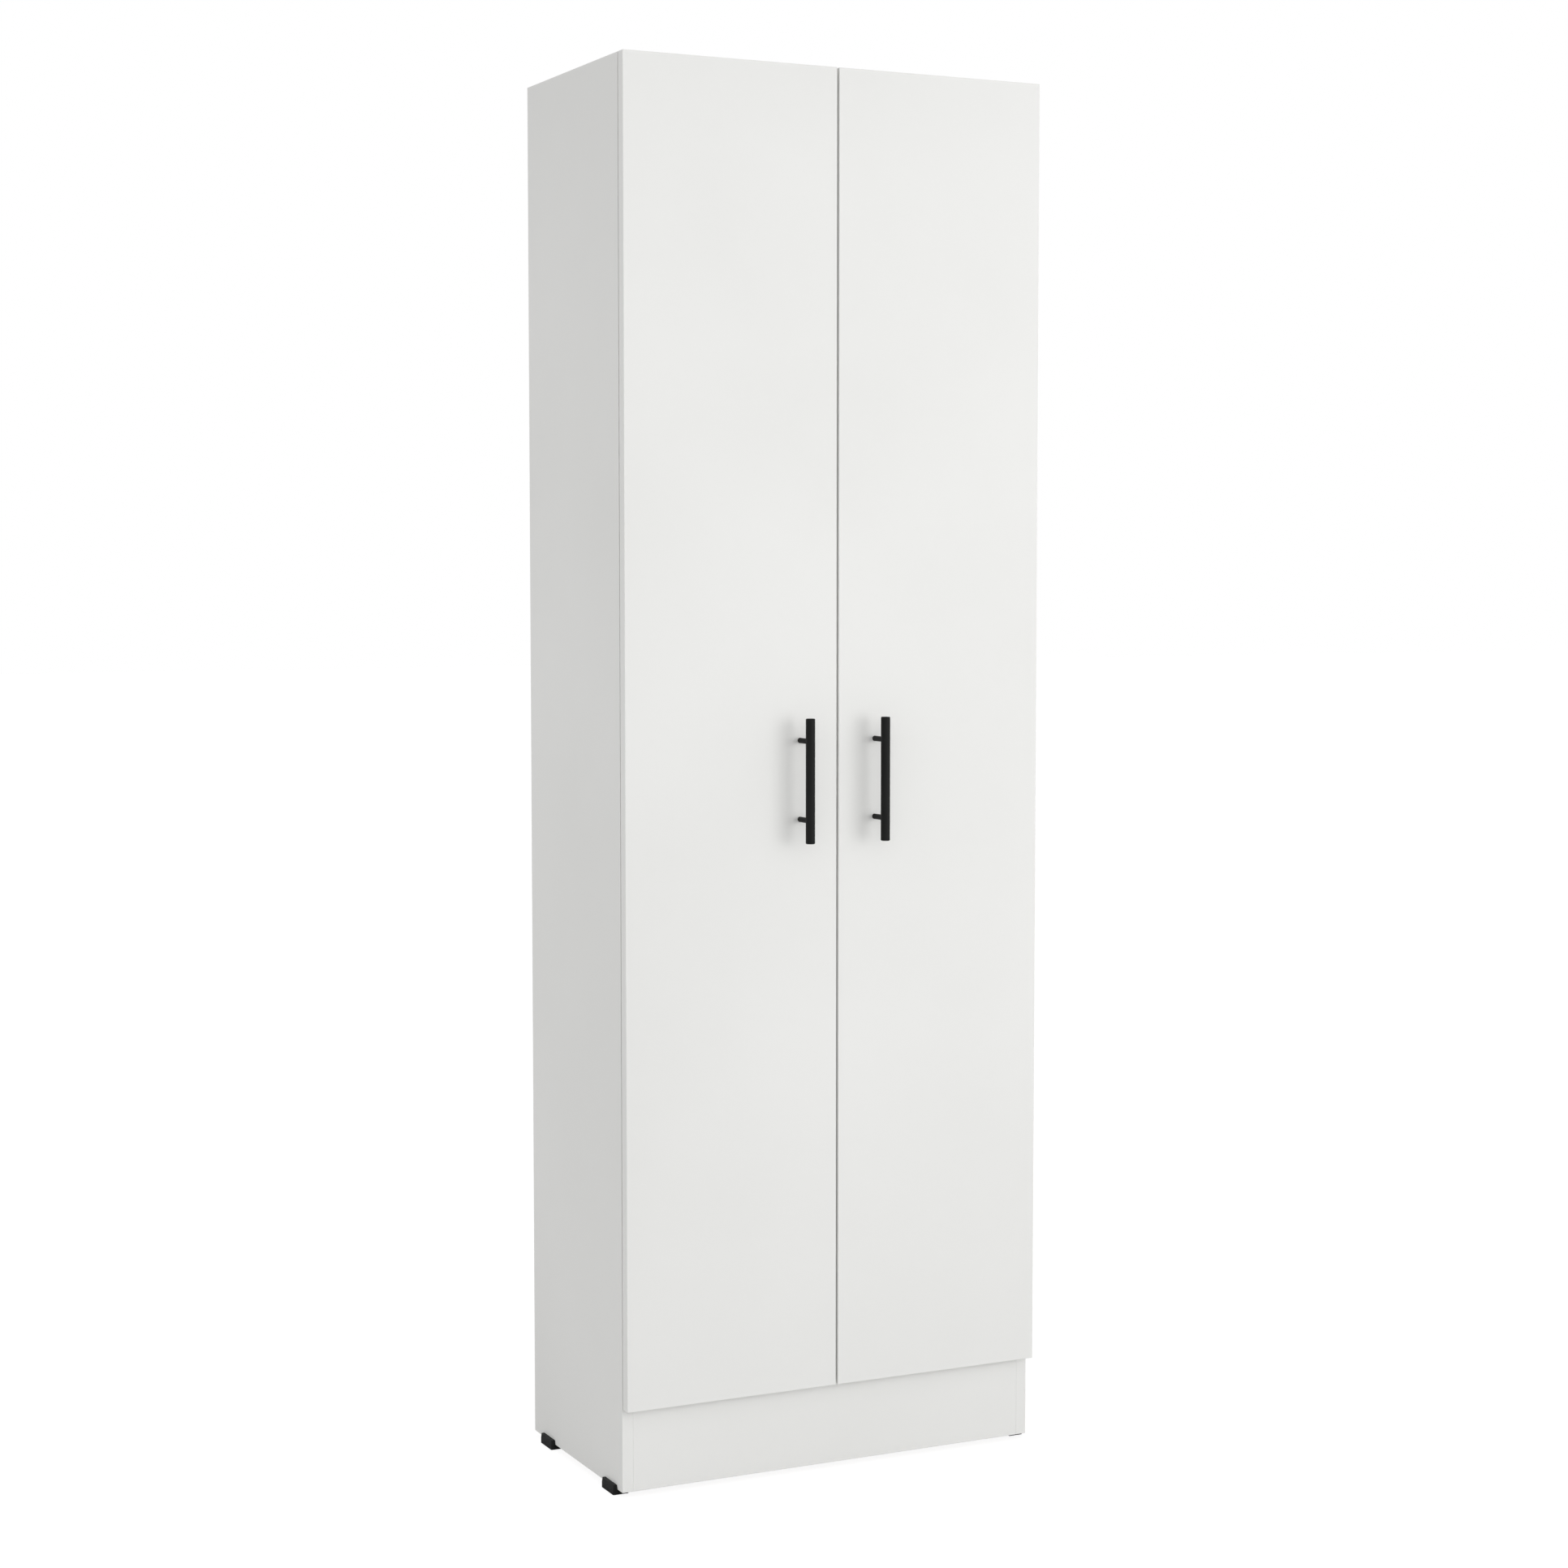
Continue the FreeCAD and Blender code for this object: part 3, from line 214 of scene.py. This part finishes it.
# %% [markdown]
# No real surface is the same all over: its tone and its gloss drift a little. Each finish could have its
# own noise, but they all drift in the same way, so one group gives a slow drift from 0 to 1 and a fine
# grain, and each finish sets its own scales.

# %% Group: drift and grain
EVEN = (1, 1, 1)
DRIFT_DETAIL = 3.0
DRIFT_FROM = 0.3
DRIFT_TO = 0.7


def make_surface_drift():
    """A slow change of a value over the surface, and a fine grain for a bump."""
    sockets = [("Drift Scale", "Float", 4.0), ("Grain Scale", "Float", 900.0), ("Stretch", "Vector", EVEN)]
    tree, given, out = new_group("surface_drift", sockets, [("Value", "Float"), ("Grain", "Float")])
    where = drawn_out(tree, given["Stretch"])
    slow = noise(tree, where, given["Drift Scale"], DRIFT_DETAIL)
    drift = put(tree, "ShaderNodeMapRange", {0: slow, 1: DRIFT_FROM, 2: DRIFT_TO}).outputs[0]
    tree.links.new(drift, out["Value"])
    tree.links.new(noise(tree, where, given["Grain Scale"]), out["Grain"])
    return tree


surface_drift = make_surface_drift()
print(surface_drift.name, "made")

# %% [markdown]
# Every finish ends in one Principled shader. Values that are the same all over are set on the shader, and
# only what changes over the surface is linked: a colour, a roughness and a bump.

# %% Helpers that start and end a finish


def new_finish(name, **plain):
    """A finish with one shader; plain values are set straight on its sockets."""
    finish = bpy.data.materials.new(name)
    finish.use_nodes = True
    shader = finish.node_tree.nodes["Principled BSDF"]
    for label, value in spaced(plain).items():
        shader.inputs[label].default_value = value
    return finish, finish.node_tree, shader


def end_finish(tree, shader, colour, roughness, height, depth):
    """Link what changes over the surface; depth is how far the bump rises, in metres."""
    tree.links.new(colour, shader.inputs["Base Color"])
    tree.links.new(roughness, shader.inputs["Roughness"])
    bump = put(tree, "ShaderNodeBump", {"Strength": 1.0, "Distance": depth, "Height": height})
    tree.links.new(bump.outputs[0], shader.inputs["Normal"])


def dress(name, finish):
    """Give a solid its finish."""
    nodes[name].data.materials.clear()
    nodes[name].data.materials.append(finish)


def dress_all(slot, finish):
    """Give one finish to every solid that is made of the same stuff."""
    names = [name for name, stuff in slot_of.items() if stuff == slot]
    for name in names:
        dress(name, finish)
    print(len(names), "dressed in", finish.name)


print("finish helpers ready")

# %% [markdown]
# The boards are faced with matt white melamine, a paper pressed on with a very fine pearl in it. One finish
# for all boards would do for the white, but the layers group needs each board's own box, so each board gets
# its own copy from the same recipe. Only the edges that show are covered with a strip. At the back and
# underneath, the saw cut is left bare, and the surface's own direction finds those edges.

# %% Finish: white melamine on the boards
WHITE = (0.845, 0.845, 0.828, 1)
WHITE_SHADE = (0.815, 0.815, 0.797, 1)
# A paler white laid along every edge of a board: a painted edge highlight.
EDGE_HIGHLIGHT = (0.87, 0.87, 0.855, 1)
EDGE_HIGHLIGHT_SHARE = 0.35
GLUE_LINE = (0.60, 0.59, 0.56, 1)
GLUE_SHARE = 0.3
FACE_ROUGHNESS = 0.46
FACE_ROUGHNESS_DRIFT = 0.06
FACE_GRAIN_DEPTH = 0.00002
CHIP_ROUGHNESS = 0.95
CHIP_RELIEF = 6.0
NEARLY_SQUARE = 0.8
SQUARE_ON = 0.95


def bare_edges(tree, low, high):
    """A mask of a carcass board's edges that face backwards or down; its broad faces are left out."""
    thin = min(range(3), key=lambda axis: high[axis] - low[axis])
    _, y, z = split(tree, facing(tree))
    behind = ramp(tree, y, NEARLY_SQUARE, SQUARE_ON, 0.0, 0.0 if thin == 1 else 1.0)
    below = ramp(tree, z, -SQUARE_ON, -NEARLY_SQUARE, 0.0 if thin == 2 else 1.0, 0.0)
    return maths(tree, "MAXIMUM", behind, below)


def white_melamine(name):
    """The white facing of one board, with chips in its holes and a hairline along its edging."""
    low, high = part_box(name)
    finish, tree, shader = new_finish("white_melamine_" + name, Specular_IOR_Level=0.35)
    layers = use(tree, board_layers, Low_Corner=low, High_Corner=high)
    chips = layers["Core"]
    if "door" not in name:
        chips = maths(tree, "MAXIMUM", chips, bare_edges(tree, low, high))
    drift = use(tree, surface_drift, Drift_Scale=2.5, Grain_Scale=1100.0)
    core = use(tree, chip_core)
    face = mixed(tree, drift["Value"], WHITE, WHITE_SHADE)
    # Every edge is lightened towards the paler white here: a painted highlight along the board's edges.
    face = mixed(tree, maths(tree, "MULTIPLY", layers["Edge"], EDGE_HIGHLIGHT_SHARE), face, EDGE_HIGHLIGHT)
    face = mixed(tree, maths(tree, "MULTIPLY", layers["Joint"], GLUE_SHARE), face, GLUE_LINE)
    colour = mixed(tree, chips, face, core["Color"])
    smooth = maths(tree, "MULTIPLY_ADD", drift["Value"], FACE_ROUGHNESS_DRIFT, FACE_ROUGHNESS)
    roughness = maths(tree, "MAXIMUM", smooth, maths(tree, "MULTIPLY", chips, CHIP_ROUGHNESS))
    torn = maths(tree, "MULTIPLY", maths(tree, "MULTIPLY", core["Height"], chips), CHIP_RELIEF)
    height = maths(tree, "ADD", drift["Grain"], torn)
    end_finish(tree, shader, colour, roughness, height, FACE_GRAIN_DEPTH)
    return finish


boards = [name for name, slot in slot_of.items() if slot == "white_board"]
for name in boards:
    dress(name, white_melamine(name))
print(len(boards), "boards faced")

# %% [markdown]
# The back is thin hardboard: white lacquer inside, and plain brown fibre behind, with the print of the wire
# screen it was pressed on. Two materials would need the faces sorted by hand. The surface's own direction
# sorts them instead: what faces backwards or sideways is brown.

# %% Finish: hardboard back
FIBRE_PALE = (0.30, 0.185, 0.10, 1)
FIBRE_DARK = (0.22, 0.13, 0.066, 1)
FIBRES_TO_THE_METRE = 60.0
FIBRE_DETAIL = 6.0
FIBRE_STRETCH = (1, 1, 4)
LACQUER_ROUGHNESS = 0.42
FIBRE_ROUGHNESS = 0.8
LACQUER_ENDS = -0.9
FIBRE_STARTS = -0.6
SCREEN_PITCH = 0.0022
SCREEN_RELIEF = 4.0
HARDBOARD_GRAIN_DEPTH = 0.00003


def screen_print(tree):
    """The dimples of a wire screen, up and down along x and z."""
    x, _, z = split(tree, place_on(tree))
    turn = 2 * math.pi / SCREEN_PITCH
    across, along = (maths(tree, "SINE", maths(tree, "MULTIPLY", way, turn)) for way in (x, z))
    return maths(tree, "MULTIPLY", across, along)


def hardboard():
    """White lacquer on the inside of the back, brown fibre with a screen print behind."""
    finish, tree, shader = new_finish("hardboard", Specular_IOR_Level=0.25)
    brown = ramp(tree, split(tree, facing(tree))["Y"], LACQUER_ENDS, FIBRE_STARTS)
    drift = use(tree, surface_drift, Drift_Scale=6.0, Grain_Scale=700.0)
    fibres = noise(tree, drawn_out(tree, FIBRE_STRETCH), FIBRES_TO_THE_METRE, FIBRE_DETAIL)
    back = mixed(tree, maths(tree, "MULTIPLY", fibres, drift["Value"]), FIBRE_PALE, FIBRE_DARK)
    face = mixed(tree, drift["Value"], WHITE, WHITE_SHADE)
    dimples = maths(tree, "MULTIPLY", maths(tree, "MULTIPLY", screen_print(tree), brown), SCREEN_RELIEF)
    height = maths(tree, "ADD", drift["Grain"], dimples)
    roughness = ramp(tree, brown, 0.0, 1.0, LACQUER_ROUGHNESS, FIBRE_ROUGHNESS)
    end_finish(tree, shader, mixed(tree, brown, face, back), roughness, height, HARDBOARD_GRAIN_DEPTH)
    return finish


dress_all("white_hardboard", hardboard())

# %% [markdown]
# Three kinds of plastic: the white strip that joins the back, the black feet, and the clear bumpers. A
# moulded part has a fine even grain from its tool, and an extruded one has faint lines along its length.
# Each could be a graph of its own, but the drift group gives both, with or without a stretch, so one recipe
# does for all. The metals and the wood further down use it too.

# %% Finish: plastics


def drifting_finish(name, colour, shade, rough, scales, depth, stretch=EVEN, **plain):
    """A finish that drifts between two tones and two roughnesses; scales are of the drift and the grain."""
    finish, tree, shader = new_finish(name, **plain)
    drift_scale, grain_scale = scales
    drift = use(tree, surface_drift, Drift_Scale=drift_scale, Grain_Scale=grain_scale, Stretch=stretch)
    tone = mixed(tree, drift["Value"], colour, shade)
    end_finish(tree, shader, tone, ramp(tree, drift["Value"], 0.0, 1.0, *rough), drift["Grain"], depth)
    return finish


dress_all("white_plastic", drifting_finish(
    "white_strip", colour=(0.83, 0.83, 0.81, 1), shade=(0.80, 0.80, 0.78, 1), rough=(0.35, 0.45),
    scales=(30.0, 900.0), depth=0.00003, stretch=(1, 1, 0.01),
))
dress_all("black_plastic", drifting_finish(
    "black_foot", colour=(0.009, 0.009, 0.009, 1), shade=(0.013, 0.013, 0.013, 1), rough=(0.5, 0.6),
    scales=(30.0, 1600.0), depth=0.00004, Specular_IOR_Level=0.15,
))
dress_all("clear_rubber", drifting_finish(
    "clear_bumper", colour=(0.85, 0.85, 0.83, 1), shade=(0.80, 0.80, 0.78, 1), rough=(0.25, 0.35),
    scales=(30.0, 1200.0), depth=0.00002, Transmission_Weight=0.6, IOR=1.45,
))

# %% [markdown]
# The bar handles are powder coated in satin black. Powder melts into a skin with a slight orange peel. It
# could be modelled as real bumps, but they are far too small to show, so it is the same recipe with a
# rounder grain than plastic has. The photograph shows no highlight on the bars, so the shine is kept low.

# %% Finish: black powder coat
dress_all("black_metal", drifting_finish(
    "black_powder_coat", colour=(0.0098, 0.0103, 0.0098, 1), shade=(0.0128, 0.0133, 0.0128, 1),
    rough=(0.5, 0.6), scales=(30.0, 700.0), depth=0.00003, Specular_IOR_Level=0.12,
))

# %% [markdown]
# Hinges are nickel plated, screws and pins are zinc plated, and the cams are cast zinc. All are bare metal,
# so they could share one finish, but their tone and gloss differ to the eye. They share the recipe instead:
# a metal shader whose tone and gloss drift, with fine lines from the press or a pebbled skin from casting.

# %% Finish: metals
dress_all("nickel_steel", drifting_finish(
    "nickel_plate", colour=(0.66, 0.65, 0.61, 1), shade=(0.58, 0.56, 0.52, 1), rough=(0.22, 0.34),
    scales=(90.0, 1500.0), depth=0.00001, stretch=(1, 1, 0.15), Metallic=1.0,
))
dress_all("plated_steel", drifting_finish(
    "zinc_plate", colour=(0.68, 0.69, 0.71, 1), shade=(0.62, 0.62, 0.58, 1), rough=(0.28, 0.42),
    scales=(90.0, 1500.0), depth=0.00001, Metallic=1.0,
))
dress_all("zinc", drifting_finish(
    "cast_zinc", colour=(0.56, 0.56, 0.57, 1), shade=(0.46, 0.46, 0.47, 1), rough=(0.42, 0.58),
    scales=(90.0, 1100.0), depth=0.00004, Metallic=1.0,
))

# %% [markdown]
# The dowels are beech, which has short dark flecks along the grain. Flecks could be drawn one by one, but
# the dowels hide in their holes, so a drift drawn out along their length is all they need.

# %% Finish: beech dowels
dress_all("beech", drifting_finish(
    "beech", colour=(0.66, 0.45, 0.27, 1), shade=(0.50, 0.31, 0.17, 1), rough=(0.55, 0.7),
    scales=(160.0, 900.0), depth=0.00004, stretch=(0.1, 1, 1), Specular_IOR_Level=0.3,
))

# %% [markdown]
# The photograph is a cut-out on pure white, so the floor and the surroundings have to read as white without
# lighting the cupboard from below. A very bright floor would do that, but it would bounce light up the
# doors, which get darker towards the floor in the photograph. So what the camera sees is white, and what
# lights the cupboard is a dimmer grey.

# %% Floor
FLOOR_HALF = 30.0
FLOOR_DROP = 0.0003
FLOOR_BOUNCE = (0.665, 0.665, 0.665, 1)
FLOOR_SHADOW = (0.2, 0.2, 0.2, 1)
FLOOR_GLOW = 0.9
PURE_WHITE = (1, 1, 1, 1)


def pale_floor():
    """White to the camera apart from a faint shadow, and a mild reflector to everything else."""
    finish = bpy.data.materials.new("pale_floor")
    finish.use_nodes = True
    tree = finish.node_tree
    tree.nodes.clear()
    bounce = put(tree, "ShaderNodeBsdfDiffuse", {"Color": FLOOR_BOUNCE}).outputs[0]
    glow = put(tree, "ShaderNodeEmission", {"Color": PURE_WHITE, "Strength": FLOOR_GLOW}).outputs[0]
    shadow = put(tree, "ShaderNodeBsdfDiffuse", {"Color": FLOOR_SHADOW}).outputs[0]
    seen = put(tree, "ShaderNodeAddShader", {0: glow, 1: shadow}).outputs[0]
    eye = put(tree, "ShaderNodeLightPath").outputs["Is Camera Ray"]
    surface = put(tree, "ShaderNodeMixShader", {0: eye, 1: bounce, 2: seen}).outputs[0]
    put(tree, "ShaderNodeOutputMaterial", {"Surface": surface})
    return finish


def make_floor():
    """A plain pale floor, just under the feet."""
    mesh = bpy.data.meshes.new("floor")
    square = ((-1, -1), (1, -1), (1, 1), (-1, 1))
    corners = [(x * FLOOR_HALF, y * FLOOR_HALF, -FLOOR_DROP) for x, y in square]
    mesh.from_pydata(corners, [], [(0, 1, 2, 3)])
    mesh.materials.append(pale_floor())
    floor = bpy.data.objects.new("floor", mesh)
    bpy.context.scene.collection.objects.link(floor)
    return floor


print(make_floor().name, "laid")

# %% [markdown]
# The light is a big soft one, a little above the handles and about a third of a right angle to the right:
# the handles' shadows in the photograph say so. It could stand near, but then one door would be brighter
# than the other, and both are alike, so it stands far off. A weaker one in front, at head height, makes the
# doors darker towards the floor. One at the left keeps the shaded side a clean light grey, brightest at its
# middle, and one above lights the top, which the photograph doesn't show.

# %% Softboxes
KEY_AIM = Vector((0.0, -0.145, 1.0))
KEY_TURN = math.radians(34)
KEY_DISTANCE = 4.0
KEY_HEIGHT = 1.17
FRONT_PLACE, FRONT_AIM = Vector((-0.34, -1.8, 1.62)), Vector((0.0, -0.145, 0.4))
LEFT_PLACE, LEFT_AIM = Vector((-1.9, 0.5, 0.8)), Vector((-0.3, 0.0, 0.93))
TOP_PLACE, TOP_AIM = Vector((0.0, 0.75, 3.6)), Vector((0.0, 0.02, 1.8))

key_way = Vector((math.sin(KEY_TURN), -math.cos(KEY_TURN), 0.0))
key_place = Vector((KEY_AIM.x, KEY_AIM.y, KEY_HEIGHT)) + key_way * KEY_DISTANCE


def make_softbox(name, place, aim, side, power):
    """A square soft light that the camera doesn't see."""
    lamp = bpy.data.lights.new(name, "AREA")
    lamp.shape, lamp.size, lamp.energy = "SQUARE", side, power
    softbox = bpy.data.objects.new(name, lamp)
    softbox.location = place
    softbox.rotation_euler = (aim - place).to_track_quat("-Z", "Y").to_euler()
    softbox.visible_camera = False
    bpy.context.scene.collection.objects.link(softbox)
    print(name, "light at", [round(v, 2) for v in place])


make_softbox("key", key_place, KEY_AIM, side=2.2, power=45.0)
make_softbox("front", FRONT_PLACE, FRONT_AIM, side=1.6, power=4.3)
make_softbox("left", LEFT_PLACE, LEFT_AIM, side=1.5, power=4.2)
make_softbox("top", TOP_PLACE, TOP_AIM, side=1.4, power=7.0)

# %% [markdown]
# The rest of the light comes from all round. An even sky would be simplest, but its light from above makes
# the shadow under the doors dark and broad, and in the photograph that shadow is pale and thin. So the sky
# is brightest at the level and towards the front, and dims upwards.

# %% Sky
SKY = 1.015
SKY_LEAN = (0.0, -0.0975, -0.618)


def make_sky():
    """Light from all round that leans to the front and dims upwards, with white behind everything."""
    world = bpy.data.worlds.new("studio")
    bpy.context.scene.world = world
    world.use_nodes = True
    tree = world.node_tree
    tree.nodes.clear()
    way = put(tree, "ShaderNodeTexCoord").outputs["Generated"]
    lean = vector_maths(tree, "DOT_PRODUCT", way, SKY_LEAN).outputs["Value"]
    level = maths(tree, "ADD", lean, SKY)
    lit = put(tree, "ShaderNodeBackground", {"Color": PURE_WHITE, "Strength": level}).outputs[0]
    white = put(tree, "ShaderNodeBackground", {"Color": PURE_WHITE, "Strength": 1.0}).outputs[0]
    eye = put(tree, "ShaderNodeLightPath").outputs["Is Camera Ray"]
    both = put(tree, "ShaderNodeMixShader", {0: eye, 1: lit, 2: white}).outputs[0]
    put(tree, "ShaderNodeOutputWorld", {"Surface": both})
    return world


print(make_sky().name, "lit")
bpy.context.scene.view_settings.view_transform = "Standard"

# %% [markdown]
# The camera stands to the left at chest height, as in the photograph. The picture's uprights are parallel
# there, which needs a shifted lens; a small shift and a slight tilt come close to it and still frame the
# cupboard well from every other side.

# %% Camera
CAMERA_PLACE = (-1.7337, -3.5301, 1.1879)
CAMERA_YAW = 26.07
CAMERA_PITCH = 3.889
CAMERA_LENS = 67.415
CAMERA_SHIFT = -0.01

camera_data = bpy.data.cameras.new("camera")
camera_data.lens = CAMERA_LENS
camera_data.shift_y = CAMERA_SHIFT
camera = bpy.data.objects.new("camera", camera_data)
camera.location = CAMERA_PLACE
camera.rotation_euler = (math.radians(90 - CAMERA_PITCH), 0.0, math.radians(-CAMERA_YAW))
bpy.context.scene.collection.objects.link(camera)
bpy.context.scene.camera = camera
print("camera at", CAMERA_PLACE)
